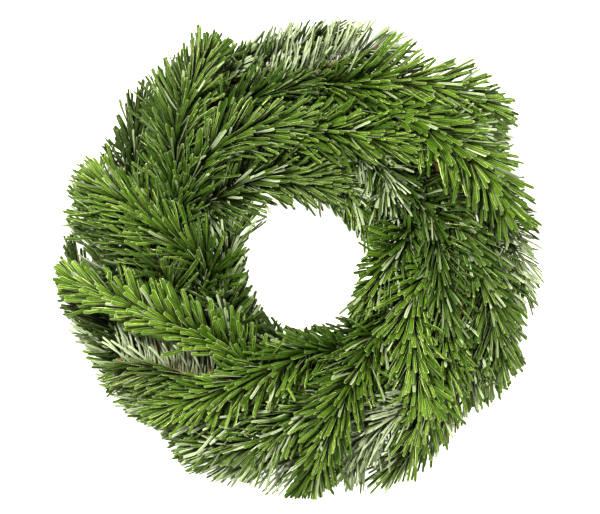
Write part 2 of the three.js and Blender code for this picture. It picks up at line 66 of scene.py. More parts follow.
camera_data = bpy.data.cameras.new("camera")
camera_data.sensor_width = SENSOR_WIDTH
camera_data.lens = SENSOR_WIDTH * (CAMERA_HEIGHT - SUBJECT_HEIGHT) / VIEW_WIDTH
camera = bpy.data.objects.new("camera", camera_data)
camera.location = (*VIEW_CENTRE, CAMERA_HEIGHT)
bpy.context.scene.collection.objects.link(camera)
bpy.context.scene.camera = camera
print("lens, mm:", round(camera_data.lens, 1))

# %% Surround, lamps and gamma
scene = bpy.context.scene
scene.view_settings.view_transform = "Standard"
scene.view_settings.gamma = 0.78
SURROUND_COLOUR, SURROUND_STRENGTH = (1, 0.97, 0.55, 1), 0.15
LAMP_COLOUR = (1, 0.98, 0.83)
LAMP_AIM = (0, 0, 0.03)

world = bpy.data.worlds.new("studio")
world.use_nodes = True
surround = world.node_tree.nodes["Background"]
surround.inputs["Color"].default_value = SURROUND_COLOUR
surround.inputs["Strength"].default_value = SURROUND_STRENGTH
scene.world = world


def add_lamp(name, place, width, power):
    lamp = bpy.data.lights.new(name, "AREA")
    lamp.size = width
    lamp.energy = power
    lamp.color = LAMP_COLOUR
    holder = bpy.data.objects.new(name, lamp)
    holder.location = place
    heading = np.array(LAMP_AIM) - np.array(place)
    heading = heading / np.linalg.norm(heading)
    holder.rotation_euler = (math.acos(-heading[2]), 0, math.atan2(heading[0], -heading[1]) + math.pi)
    scene.collection.objects.link(holder)


add_lamp("main_lamp", (-0.36, 0.5, 1.45), 0.26, 40.5)
add_lamp("fill_lamp", (0.7, -0.6, 1.2), 0.6, 13.6)

# %% [markdown]
# ## Materials from nodes
#
# Every finish here is made of Blender's own noise and colour nodes. One helper makes a node, sets its values
# and joins its inputs in one call.


# %% Making nodes
def new_material(name):
    material = bpy.data.materials.new(name)
    material.use_nodes = True
    return material, material.node_tree


def node(tree, kind, values=None, links=None, **settings):
    made = tree.nodes.new(kind)
    for key, value in settings.items():
        setattr(made, key, value)
    for key, value in (values or {}).items():
        made.inputs[key].default_value = value
    for key, source in (links or {}).items():
        tree.links.new(source, made.inputs[key])
    return made


def ramp(tree, source, stops):
    made = node(tree, "ShaderNodeValToRGB", links={"Fac": source})
    stops_made = made.color_ramp.elements
    while len(stops_made) < len(stops):
        stops_made.new(0.5)
    for element, (place, colour) in zip(stops_made, stops):
        element.position = place
        element.color = (*colour, 1)
    return made.outputs["Color"]


def shades(tree, source, stops):
    return ramp(tree, source, [(place, (value, value, value)) for place, value in stops])


def blend(tree, factor, low, high):
    made = node(tree, "ShaderNodeMix", data_type="RGBA")
    for key, value in (("Factor", factor), ("A", low), ("B", high)):
        socket = next(s for s in made.inputs if s.name == key and s.enabled)
        if isinstance(value, bpy.types.NodeSocket):
            tree.links.new(value, socket)
        else:
            socket.default_value = (*value, 1) if isinstance(value, tuple) else value
    return next(s for s in made.outputs if s.enabled)


def times(tree, first, second):
    return node(tree, "ShaderNodeMath", links={0: first, 1: second}, operation="MULTIPLY").outputs[0]


# %% Noise, values carried by the mesh, and the shader
def noise(tree, scale, detail):
    where = node(tree, "ShaderNodeTexCoord").outputs["Object"]
    made = node(tree, "ShaderNodeTexNoise", {"Scale": scale, "Detail": detail}, {"Vector": where})
    return made.outputs["Fac"]


def carried(tree, name, output="Fac"):
    return node(tree, "ShaderNodeAttribute", attribute_name=name).outputs[output]


def shader_of(tree):
    return tree.nodes["Principled BSDF"]


def give(tree, socket, source):
    tree.links.new(source, shader_of(tree).inputs[socket])


def set_value(tree, socket, value):
    shader_of(tree).inputs[socket].default_value = value


def give_relief(tree, height, strength, distance):
    bump = node(tree, "ShaderNodeBump", {"Strength": strength, "Distance": distance}, {"Height": height})
    give(tree, "Normal", bump.outputs["Normal"])


def scaled(colour, share):
    return tuple(share * c for c in colour)

# %% [markdown]
# ### The floor
#
# A white sheet of board, whose own light keeps the wreath's shadow pale. It belongs to the studio and
# not to the wreath, and lies a hair below, as two faces in one plane would flicker.

# %% Floor
FLOOR_HALF = 3.0
FLOOR_DROP = 0.0003
floor_mesh = bpy.data.meshes.new("floor")
floor_mesh.from_pydata(
    [(x * FLOOR_HALF, y * FLOOR_HALF, 0) for x, y in ((-1, -1), (1, -1), (1, 1), (-1, 1))], [], [(0, 1, 2, 3)]
)
floor = bpy.data.objects.new("floor", floor_mesh)
floor.location.z = -FLOOR_DROP
scene.collection.objects.link(floor)
board, tree = new_material("white_board")
grain = node(tree, "ShaderNodeTexNoise", {"Scale": 40.0, "Detail": 2.0}).outputs["Fac"]
give(tree, "Base Color", ramp(tree, grain, [(0.3, (0.86, 0.86, 0.85)), (0.7, (0.88, 0.88, 0.87))]))
set_value(tree, "Roughness", 0.9)
set_value(tree, "Emission Color", (1, 1, 1, 1))
set_value(tree, "Emission Strength", 0.85)
floor_mesh.materials.append(board)
print("floor, m:", 2 * FLOOR_HALF, "square")

# %% [markdown]
# ### The needles' finish
#
# A fir needle is flat. Its upper side is glossy green with a fine groove, and below it has two bands of white
# wax beside a green rib. Painted highlight gives its edges and its blunt tip a pale rim and the groove a
# light line, and painted shade darkens a band inside each edge and the part near its root. A painted picture
# could show all that, but thousands of needles would each need a place in it. Here each corner carries its
# place on
# the needle as a vector: x runs across from edge to edge, y along from root to tip, and z is 0 on the rib
# below, 0.5 at the edges and 1 above. Ramps turn that place into colour. A second value, the tone, differs
# from needle to needle, partly at random and partly as painted shade and light: low is deep green with hardly
# any rim, high is fresh green with a bright one.


# %% The upper side of a needle
def upper_green(tree, across, tone, lit, deep, fresh, tip, cloud):
    green = ramp(tree, tone, [(0.0, deep), (1.0, fresh)])
    green = blend(tree, shades(tree, cloud, [(0.35, 0.0), (0.7, 0.35)]), green, scaled(deep, 0.6))
    # Painted highlight: a lighter line down the groove
    groove_highlight = shades(tree, across, [(0.0, 0.6), (0.2, 0.0)])
    green = blend(tree, groove_highlight, green, tuple(0.75 * a + 0.25 * b for a, b in zip(fresh, tip)))
    # Painted shade: a darker band inside each edge, between the blade and the rim
    shoulder_shade = shades(tree, across, [(0.3, 0.0), (0.66, 0.7), (0.78, 0.0)])
    green = blend(tree, shoulder_shade, green, deep)
    # Painted highlight: a pale rim along both edges, dimmer where the tone is low
    rim_highlight = times(tree, shades(tree, across, [(0.84, 0.0), (0.96, 1.0)]), lit)
    return blend(tree, rim_highlight, green, tuple(1.45 * c + 0.08 for c in tip))


# %% The under side of a needle
WAX_THIN, WAX_THICK, WAX_SHADED = (0.42, 0.48, 0.385), (0.68, 0.74, 0.66), (0.08, 0.13, 0.05)
RIB_GREEN = (0.18, 0.28, 0.11)


def waxed_underside(tree, across, tone, green):
    wax = ramp(tree, noise(tree, 2600.0, 2.0), [(0.3, WAX_THIN), (0.7, WAX_THICK)])
    wax = blend(tree, shades(tree, tone, [(0.0, 0.75), (0.9, 0.0)]), wax, WAX_SHADED)
    bands = shades(tree, across, [(0.12, 0.0), (0.24, 1.0), (0.7, 1.0), (0.86, 0.0)])
    return blend(tree, bands, blend(tree, 0.35, green, RIB_GREEN), wax)


# %% The whole needle
GLOSS_SPREAD = 0.15
WAX_ROUGHNESS = (0.62, 0.62, 0.62)


def needle_finish(name, deep, fresh, tip, gloss):
    material, tree = new_material(name)
    place = carried(tree, "place", "Vector")
    parts = node(tree, "ShaderNodeSeparateXYZ", links={"Vector": place}).outputs
    across = node(tree, "ShaderNodeMath", links={0: parts["X"]}, operation="ABSOLUTE").outputs[0]
    along, height = parts["Y"], parts["Z"]
    tone = carried(tree, "tone")
    # How brightly the painted rim and tip highlights show, from the tone
    lit = shades(tree, tone, [(0.0, 0.25), (0.7, 1.0)])
    cloud = noise(tree, 420.0, 3.0)

    green = upper_green(tree, across, tone, lit, deep, fresh, tip, cloud)
    side = shades(tree, height, [(0.49, 0.0), (0.51, 1.0)])
    colour = blend(tree, side, waxed_underside(tree, across, tone, green), green)
    # Painted highlight at the blunt tip, dimmer where the tone is low
    tip_highlight = times(tree, shades(tree, along, [(0.95, 0.0), (0.995, 0.6)]), lit)
    colour = blend(tree, tip_highlight, colour, tip)
    # Painted shade towards the root, where neighbours would shade a needle, weaker on the waxed underside
    root = shades(tree, along, [(0.15, 0.94), (0.4, 0.62), (0.72, 0.0)])
    root = times(tree, root, shades(tree, height, [(0.49, 0.35), (0.51, 1.0)]))
    give(tree, "Base Color", blend(tree, root, colour, scaled(deep, 0.3)))

    rough = shades(tree, cloud, [(0.3, gloss), (0.75, gloss + GLOSS_SPREAD)])
    give(tree, "Roughness", blend(tree, side, WAX_ROUGHNESS, rough))
    set_value(tree, "Specular IOR Level", 0.6)
    set_value(tree, "Specular Tint", (1.0, 1.0, 0.6, 1.0))
    waves = {"Scale": 3.0, "Distortion": 0.4}
    lines = node(tree, "ShaderNodeTexWave", waves, {"Vector": place}, bands_direction="X")
    give_relief(tree, lines.outputs["Fac"], 0.25, 0.00008)
    return material


# %% Four tints of needle: deep, fresh, tip colour (also the painted rim highlight) and roughness of the gloss
NEEDLE_COLOURS = {
    "bright": ((0.044, 0.112, 0.003), (0.160, 0.285, 0.010), (0.47, 0.55, 0.33), 0.22),
    "mid": ((0.031, 0.084, 0.003), (0.113, 0.212, 0.011), (0.40, 0.48, 0.30), 0.23),
    "dark": ((0.018, 0.050, 0.004), (0.095, 0.175, 0.015), (0.32, 0.40, 0.25), 0.25),
    "silver": ((0.030, 0.075, 0.006), (0.105, 0.185, 0.022), (0.40, 0.48, 0.30), 0.25),
}
NEEDLES = {tint: needle_finish("needles_" + tint, *colours) for tint, colours in NEEDLE_COLOURS.items()}
print("finishes for needles:", list(NEEDLES))

# %% [markdown]
# ### Bark and bud scales
#
# Young fir twigs have smooth light brown to olive bark. A coarse noise gives patches, and a fine one the
# little ridges below each needle. The winter buds are brown and glossier, with a thin coat of resin.


# %% Bark and buds
def bark_finish():
    material, tree = new_material("bark")
    patches, ridges = noise(tree, 160.0, 4.0), noise(tree, 1500.0, 3.0)
    brown, tan, olive = (0.13, 0.105, 0.045), (0.29, 0.235, 0.11), (0.21, 0.22, 0.08)
    colour = ramp(tree, patches, [(0.3, brown), (0.52, tan), (0.75, olive)])
    colour = blend(tree, shades(tree, ridges, [(0.4, 0.0), (0.7, 0.6)]), colour, (0.07, 0.04, 0.018))
    give(tree, "Base Color", colour)
    give(tree, "Roughness", shades(tree, patches, [(0.3, 0.62), (0.7, 0.8)]))
    give_relief(tree, ridges, 0.6, 0.0003)
    return material


def bud_finish():
    material, tree = new_material("bud_scales")
    patches = noise(tree, 700.0, 3.0)
    give(tree, "Base Color", ramp(tree, patches, [(0.3, (0.13, 0.055, 0.03)), (0.7, (0.30, 0.155, 0.09))]))
    give(tree, "Roughness", shades(tree, patches, [(0.3, 0.35), (0.7, 0.55)]))
    return material


BARK, BUD = bark_finish(), bud_finish()
print("finishes for twigs:", BARK.name, BUD.name)

# %% [markdown]
# ## Where each sprig lies
#
# The sprigs are bound at fourteen stations, one on the inner side of the straw, one on top and one on the
# outer side. Each then passes three places: where it comes out of the binding, its middle and its furthest
# needle tips. A row of the list holds its name, station, seat, the three places in millimetres and its tint.
# The rows repeat those that the solids are made from, from the top sprigs down, so each fine sprig lies
# where its node lies.

# %% The sprigs
SPRIGS = [
    ("left_bright", 7, "top", (-38, -58, 50), (-84, -36, 60), (-143, -12, 40), "bright"),
    ("right_big", 0, "top", (57, 87, 50), (97, 64, 60), (129, 24, 44), "bright"),
    ("bottom_left_herring", 5, "inner", (6, -56, 44), (-25, -70, 56), (-86, -92, 48), "bright"),
    ("bottom_bright", 3, "inner", (42, -54, 46), (22, -91, 60), (3, -143, 34), "bright"),
    ("topleft_sweep", 10, "inner", (-70, 36, 50), (-49, 67, 60), (4, 84, 58), "mid"),
    ("topleft_tall", 10, "top", (-76, 36, 48), (-72, 80, 58), (-52, 134, 36), "mid"),
    ("topright_long", 0, "outer", (16, 104, 44), (60, 106, 54), (122, 92, 34), "bright"),
    ("top_inner_bright", 12, "inner", (4, 76, 50), (34, 74, 58), (70, 66, 56), "bright"),
    ("right_bright_down", 3, "top", (68, -22, 52), (68, -56, 58), (78, -92, 54), "bright"),
    ("left_upper_bright", 9, "inner", (-56, -8, 46), (-86, 20, 56), (-129, 52, 36), "bright"),
    ("hole_right", 2, "inner", (64, 12, 42), (51, -6, 46), (35, -34, 36), "bright"),
    ("bottomright_mid", 4, "top", (86, -58, 42), (76, -88, 44), (62, -116, 38), "bright"),
    ("right_mid_dark", 1, "inner", (78, 26, 48), (83, -6, 52), (88, -46, 48), "mid"),
    ("right_lower_outer", 2, "top", (93, 20, 42), (112, -20, 44), (124, -70, 26), "mid"),
    ("bottom_lower", 5, "top", (22, -80, 42), (-18, -107, 46), (-70, -114, 32), "mid"),
    ("top_silver_long", 13, "top", (-6, 104, 42), (23, 119, 40), (58, 131, 24), "silver"),
    ("left_silver", 8, "top", (-56, -74, 40), (-82, -66, 42), (-122, -62, 30), "silver"),
    ("top_knot", 12, "top", (-52, 82, 42), (-32, 94, 48), (4, 104, 50), "mid"),
    ("top_hang_silver", 0, "inner", (41, 63, 42), (51, 48, 46), (52, 28, 42), "silver"),
    ("top_inner_arc", 11, "inner", (-52, 36, 40), (-26, 49, 46), (21, 43, 40), "dark"),
    ("left_mid", 9, "top", (-80, -10, 51), (-112, 20, 42), (-134, 44, 26), "mid"),
    ("right_upper_mid", 1, "top", (62, 82, 38), (88, 80, 42), (116, 76, 30), "mid"),
    ("bottom_silver", 5, "outer", (60, -93, 40), (38, -108, 36), (26, -134, 24), "silver"),
    ("hole_left", 8, "inner", (-45, -42, 36), (-46, -12, 37), (-38, 30, 33), "silver"),
    ("left_gap_dark", 7, "inner", (-50, -26, 24), (-70, -13, 32), (-112, -6, 46), "dark"),
    ("left_bottom_fan", 7, "outer", (-33, -112, 24), (-79, -93, 20), (-114, -71, 13), "mid"),
    ("bottom_left_fill", 6, "top", (-22, -92, 45), (-58, -96, 38), (-95, -90, 24), "dark"),
    ("topleft_outer", 11, "outer", (-101, 56, 24), (-102, 74, 18), (-94, 99, 13), "dark"),
    ("topleft_fill", 11, "top", (-76, 58, 44), (-79, 87, 38), (-77, 116, 24), "mid"),
    ("top_back_left", 12, "outer", (-68, 96, 24), (-50, 112, 18), (-24, 129, 13), "dark"),
    ("top_silver_left", 13, "outer", (-19, 116, 24), (-2, 126, 24), (26, 140, 17), "silver"),
    ("right_tip_silver", 1, "outer", (79, 88, 24), (100, 80, 20), (121, 68, 14), "silver"),
    ("right_outer", 2, "outer", (109, 44, 24), (127, 14, 20), (137, -26, 14), "silver"),
    ("right_lower_dark", 3, "outer", (118, -7, 24), (119, -46, 20), (110, -82, 14), "dark"),
    ("bottomright_under", 4, "outer", (103, -57, 24), (82, -98, 18), (52, -134, 13), "dark"),
    ("bottom_outer_under", 6, "outer", (19, -116, 24), (-28, -122, 18), (-70, -118, 13), "silver"),
    ("left_outer_low", 9, "outer", (-109, -45, 24), (-126, -26, 18), (-144.4, 2, 13), "dark"),
    ("left_low", 8, "outer", (-79, -87, 24), (-106, -65, 18), (-131, -40, 13), "mid"),
    ("left_rim", 10, "outer", (-118, 7, 24), (-125, 26, 18), (-127, 49, 13), "dark"),
    ("hole_top_right", 13, "inner", (8, 55, 30), (33, 38, 30), (44, 10, 28), "mid"),
    ("hole_bottom", 4, "inner", (46, -44, 26), (24, -52, 26), (-4, -50, 24), "dark"),
    ("hole_bottom_left", 6, "inner", (-4, -56, 32), (-21, -51, 33), (-38, -37, 34), "dark"),
]
print("sprigs:", len(SPRIGS))

# %% Sizes of the ring and of the sprigs, in millimetres
RING_RADIUS = 93
STRAW_RADIUS = 17.5
STRAW_HEIGHT = 16.5
STATIONS = 14
TWIG_RADIUS = 1.7
BOUND_LENGTH = 18
BRUSH_REACH = 13
UPWARDS = np.array([0.0, 0.0, 1.0])


def clock_of(station):
    return station / STATIONS * 2 * math.pi


def on_section(clock, angle, distance):
    """A point at a clock angle of the ring, and at an angle and a distance from its section's middle."""
    radius = RING_RADIUS + distance * math.cos(angle)
    height = STRAW_HEIGHT + distance * math.sin(angle)
    return np.array([radius * math.sin(clock), radius * math.cos(clock), height])


# %% The three seats: angle round the section, part of a station further on, and gap to the straw
SEATS = {"outer": (5, -0.22, 0.15), "top": (90, 0, 0.15), "inner": (165, 0.22, 0.5)}
print("ring, mm:", 2 * (RING_RADIUS + STRAW_RADIUS), "across")

# %% [markdown]
# ### A smooth way through the places
#
# A twig bends evenly, so its way is a smooth curve through its six places: three along the binding and three
# of the list. The curve is the centripetal kind, which never swings out past its points. It is worked out in
# short steps, and points are then taken from it at chosen distances.


# %% Curves
def smooth_way(places, steps=60):
    places = np.array(places, float)
    padded = np.vstack([2 * places[0] - places[1], places, 2 * places[-1] - places[-2]])
    way = [places[0]]
    for before, start, end, after in zip(padded, padded[1:], padded[2:], padded[3:]):
        spans = ((before, start), (start, end), (end, after))
        d0, d1, d2 = (math.sqrt(np.linalg.norm(b - a)) for a, b in spans)
        leave = ((start - before) / d0 - (end - before) / (d0 + d1) + (end - start) / d1) * d1
        arrive = ((end - start) / d1 - (after - start) / (d1 + d2) + (after - end) / d2) * d1
        for i in range(1, steps + 1):
            t = i / steps
            way.append(start + leave * t + (3 * (end - start) - 2 * leave - arrive) * t**2
                       + (2 * (start - end) + leave + arrive) * t**3)
    return np.array(way)


def along_way(way, distances):
    lengths = np.concatenate([[0], np.cumsum(np.linalg.norm(np.diff(way, axis=0), axis=1))])
    return np.stack([np.interp(distances, lengths, way[:, k]) for k in range(3)], axis=1)


def way_length(way):
    return float(np.linalg.norm(np.diff(way, axis=0), axis=1).sum())


# %% The way of each sprig
def sprig_way(station, seat, leaves, middle, tip):
    angle, turn, gap = SEATS[seat]
    section = math.radians(angle)
    clock = clock_of(station + turn)
    distance = STRAW_RADIUS + gap + TWIG_RADIUS
    half = BOUND_LENGTH / 2 / (RING_RADIUS + distance * math.cos(section))
    bound = [on_section(clock + step, section, distance) for step in (-half, 0, half)]
    return smooth_way([*bound, leaves, middle, tip])


WAYS = {name: sprig_way(*row) for name, *row, tint in SPRIGS}
print("first twigs, mm:", [round(way_length(WAYS[name]) - BRUSH_REACH) for name, *row in SPRIGS[:4]])

# %% [markdown]
# ## From arrays to meshes
#
# Thousands of needles are made at once as arrays. Blender's own operators would take many minutes for them,
# so a mesh is built straight from arrays too: corners, four-sided faces, a material number for each face, and
# the values that the finishes read.

# %% Building a mesh
SHARP_ANGLE = 48


def unit(vectors):
    return vectors / np.maximum(np.linalg.norm(vectors, axis=-1, keepdims=True), 1e-12)


class Pile:
    """Corners and faces of one piece, gathered part by part."""

    def __init__(self):
        self.corners, self.quads, self.kinds, self.places, self.tones = [], [], [], [], []
        self.count = 0

    def add(self, corners, quads, kind=0, places=None, tones=None):
        self.corners.append(corners)
        self.quads.append(quads + self.count)
        self.kinds.append(np.full(len(quads), kind))
        self.places.append(np.zeros((len(corners), 3)) if places is None else places)
        self.tones.append(np.full(len(corners), 0.5) if tones is None else tones)
        self.count += len(corners)

    def make(self, name, materials):
        corners = np.concatenate(self.corners) * MM
        quads = np.concatenate(self.quads).astype(np.int32)
        mesh = bpy.data.meshes.new(name)
        mesh.vertices.add(len(corners))
        mesh.vertices.foreach_set("co", corners.ravel())
        mesh.loops.add(quads.size)
        mesh.loops.foreach_set("vertex_index", quads.ravel())
        mesh.polygons.add(len(quads))
        mesh.polygons.foreach_set("loop_start", np.arange(0, quads.size, 4, dtype=np.int32))
        mesh.polygons.foreach_set("material_index", np.concatenate(self.kinds).astype(np.int32))
        mesh.update(calc_edges=True)
        mesh.shade_smooth()
        mesh.set_sharp_from_angle(angle=math.radians(SHARP_ANGLE))
        mesh.attributes.new("place", "FLOAT_VECTOR", "POINT").data.foreach_set(
            "vector", np.concatenate(self.places).astype(np.float32).ravel())
        mesh.attributes.new("tone", "FLOAT", "POINT").data.foreach_set(
            "value", np.concatenate(self.tones).astype(np.float32))
        for material in materials:
            mesh.materials.append(material)
        piece = bpy.data.objects.new(name, mesh)
        scene.collection.objects.link(piece)
        return piece


print("edges stay sharp above, degrees:", SHARP_ANGLE)

# %% [markdown]
# ### A tube round a way
#
# Twigs, buds, wire and stalks are tubes: rings of corners round a way, each square to it. A curve with a
# round bevel gives the same, but as an object of its own, and here hundreds of tubes go into one mesh. The
# rings' frames turn with the way and never spin about it. Flat ends close an open tube.


# %% Tubes
def grid_faces(rows, sides, closed=False):
    """Four-sided faces over rows of corners, each row a ring."""
    i, j = np.meshgrid(np.arange(rows if closed else rows - 1), np.arange(sides), indexing="ij")
    here, there, beside = i * sides, (i + 1) % rows * sides, (j + 1) % sides
    return np.stack([here + j, here + beside, there + beside, there + j], axis=-1).reshape(-1, 4)


def way_frames(way):
    ahead = unit(np.gradient(way, axis=0))
    side = np.zeros_like(way)
    last = UPWARDS if abs(ahead[0][2]) < 0.9 else np.array([1.0, 0.0, 0.0])
    for i, forward in enumerate(ahead):
        last = unit(last - (last @ forward) * forward)
        side[i] = last
    return side, np.cross(ahead, side)


def tube(way, radii, sides, closed=False, squash=1.0):
    side, up = way_frames(way)
    rows = len(way)
    angles = np.arange(sides) / sides * 2 * math.pi
    aside, upward = np.cos(angles)[:, None], np.sin(angles)[:, None]
    radii = np.broadcast_to(radii, rows).reshape(-1, 1, 1)
    ring = side[:, None] * aside + squash * up[:, None] * upward
    corners = (way[:, None] + radii * ring).reshape(-1, 3)
    quads = grid_faces(rows, sides, closed)
    if not closed:
        first, last = np.arange(sides), (rows - 1) * sides + np.arange(sides)
        caps = []
        for k in range(sides // 2 - 1):
            caps.append([first[k], first[sides - 1 - k], first[sides - 2 - k], first[k + 1]])
            caps.append([last[k], last[k + 1], last[sides - 2 - k], last[sides - 1 - k]])
        quads = np.vstack([quads, caps])
    return corners, quads


print("faces of a grid with 3 rings of 8:", len(grid_faces(3, 8)))

# %% [markdown]
# ## The twig and its buds
#
# The bark of a fir twig swells a little under every needle. Slow waves in the radius give that unevenness,
# where a bump in the material would leave the outline smooth. The twig thins towards its end. There one
# winter bud stands between two smaller ones, each an egg shape with a pointed end and a scalloped skin.

# %% Twigs
ROUND_SIDES = 8
TWIG_STEP = 2.0
TWIG_THICK, TWIG_THIN = 1.15, 0.75
TWIG_WAVES, TWIG_WAVE, TWIG_ROUGHNESS = 1.9, 0.06, 0.04


def add_twig(pile, way, reach, rng):
    distances = np.linspace(0, reach, max(8, round(reach / TWIG_STEP)))
    path = along_way(way, distances)
    waves = TWIG_WAVE * np.sin(distances * TWIG_WAVES + rng.uniform(0, 6))
    radii = np.interp(distances, [0, reach], [TWIG_THICK, TWIG_THIN])
    radii = radii * (1 + waves + TWIG_ROUGHNESS * rng.standard_normal(len(path)))
    pile.add(*tube(path, radii, ROUND_SIDES), kind=1)
    return path


# %% Buds
BUD_LENGTH, BUD_RADIUS = 4.6, 1.4
BUD_AT = np.array([0.0, 0.12, 0.3, 0.5, 0.7, 0.86, 0.97, 1.0])
BUD_SWELL = np.array([0.55, 0.86, 1.0, 0.96, 0.78, 0.5, 0.2, 0.05])
BUD_SCALLOP = 0.05
BUD_SUNK, SIDE_BUD_SUNK, SIDE_BUD_OUT = 0.5, 1.5, 0.7
SIDE_BUD_LEAN, SIDE_BUD_SIZE = 0.8, 0.8


def add_bud(pile, place, heading, size):
    scallop = 1 + BUD_SCALLOP * (np.arange(len(BUD_AT)) % 2)
    path = place + heading * (BUD_AT[:, None] * BUD_LENGTH * size)
    pile.add(*tube(path, BUD_SWELL * scallop * BUD_RADIUS * size, ROUND_SIDES), kind=2)


def add_buds(pile, path):
    ahead = unit(path[-1] - path[-2])
    add_bud(pile, path[-1] - BUD_SUNK * ahead, ahead, 1.0)
    for sign in (-1, 1):
        side = sign * unit(np.cross(ahead, UPWARDS))
        place = path[-1] - SIDE_BUD_SUNK * ahead + SIDE_BUD_OUT * side
        add_bud(pile, place, unit(ahead + SIDE_BUD_LEAN * side), SIDE_BUD_SIZE)


print("bud, mm:", BUD_LENGTH, "long")

# %% [markdown]
# ## The needles
#
# One needle is a grid: six stations along it, and six corners round each station. The corners are the left
# edge, the left crown, the groove, the right crown, the right edge and the rib below. The blade is narrow at
# its stalk, even for most of its length and blunt at the tip, where the groove and the rib step back for the
# notch. A flat card with a picture of a needle would be lighter, but it has no groove to catch the light and
# vanishes from the side.

# %% The shape of a needle
STATION_AT = np.array([0.0, 0.3, 0.78, 0.95, 0.984, 1.0])
STATION_WIDTH = np.array([0.36, 0.92, 1.0, 0.97, 0.76, 0.32])
STATION_THICK = np.array([0.9, 1.0, 0.95, 0.85, 0.65, 0.4])
ROUND_ACROSS = np.array([-1.0, -0.52, 0.0, 0.52, 1.0, 0.0])
ROUND_HEIGHT = np.array([0.0, 0.42, 0.22, 0.42, 0.0, -0.3])
ROUND_SIDE = np.array([0.5, 1.0, 1.0, 1.0, 0.5, 0.0])
NOTCH = np.array([-0.04, 0.08, -0.14, 0.08, -0.04, -0.1])
HALF_WIDTH = 1.14


def needle_faces():
    rows, cols = len(STATION_AT), len(ROUND_ACROSS)
    last = (rows - 1) * cols
    root_end = [[0, 1, 2, 5], [2, 3, 4, 5]]
    tip_end = [[last + 1, last, last + 5, last + 2], [last + 3, last + 2, last + 5, last + 4]]
    return np.vstack([grid_faces(rows, cols)[:, ::-1], root_end, tip_end])


NEEDLE_FACES = needle_faces()
print("triangles in a needle:", 2 * len(NEEDLE_FACES))


# %% Many needles at once
def add_needles(pile, roots, headings, uppers, lengths, bends, widths, tones):
    """Roots, headings, upper sides and bends are rows of vectors, one for each needle."""
    count, rows, cols = len(roots), len(STATION_AT), len(ROUND_ACROSS)
    t = STATION_AT[:, None]
    middle = roots[:, None] + lengths[:, None, None] * (t * headings[:, None] + t**2 * bends[:, None])
    ahead = unit(headings[:, None] + 2 * t * bends[:, None])
    above = unit(uppers[:, None] - (uppers[:, None] * ahead).sum(-1, keepdims=True) * ahead)
    across = np.cross(ahead, above)
    wide = (widths[:, None] * STATION_WIDTH)[:, :, None, None] * HALF_WIDTH
    thick = STATION_THICK[:, None, None]
    corners = middle[:, :, None] + across[:, :, None] * wide * ROUND_ACROSS[:, None]
    corners = corners + above[:, :, None] * thick * ROUND_HEIGHT[:, None]
    corners[:, -1] = corners[:, -1] + ahead[:, -1, None] * NOTCH[:, None]
    places = np.stack(np.broadcast_arrays(ROUND_ACROSS, STATION_AT[:, None], ROUND_SIDE), axis=-1)
    places = np.broadcast_to(places, (count, rows, cols, 3)).reshape(-1, 3)
    faces = NEEDLE_FACES + (np.arange(count) * rows * cols)[:, None, None]
    pile.add(corners.reshape(-1, 3), faces.reshape(-1, 4), 0, places, np.repeat(tones, rows * cols))

# %% [markdown]
# ## How needles stand on a twig
#
# Needles grow in a spiral, each one 137.5 degrees on from the last. On a fir they then part: the ones above
# leave a furrow along the twig and lean forwards, and the ones below are swept out to the sides. So an angle
# round the twig, 0 straight up and 180 straight down, is opened by the parting and closed in below. Towards
# the end all of them lean forwards. Most turn their green side to the light, and a few are twisted, which
# gives the silver flecks. Copies of one ready brush would look alike, so every sprig has a habit of its own,
# which starts from the common one and changes what differs. A pair holds a value for the needles at the
# twig's left and one for those at its right.

# %% The common habit
GOLDEN_ANGLE = math.radians(137.5)
HABIT = dict(
    per_mm=2.7,  # needles to a mm of twig
    bare=13,  # mm of twig without needles, from its bound end on
    length=26,  # mm
    width=0.75,  # a share of the full width, 2.3 mm
    lean=50,  # degrees away from the twig's heading, for needles at its sides
    at_end=27,  # the same, for all needles at the twig's end
    crowd=14,  # extra needles round the end bud
    parting=0,  # degrees that the furrow is opened by
    sweep=0.45,  # how far the lower needles stay below the twig: 1 all the way, 0 not at all
    loose=0.09,  # how far needles stray from their heading
    on_edge=0.25,  # the share of needles that stand on edge
    turned=0.015,  # the share that is twisted, so that the wax shows
    shade=0,  # added to the tone as painted light and shade: below 0 is deeper, above 0 brighter
)
print("values in a habit:", len(HABIT))

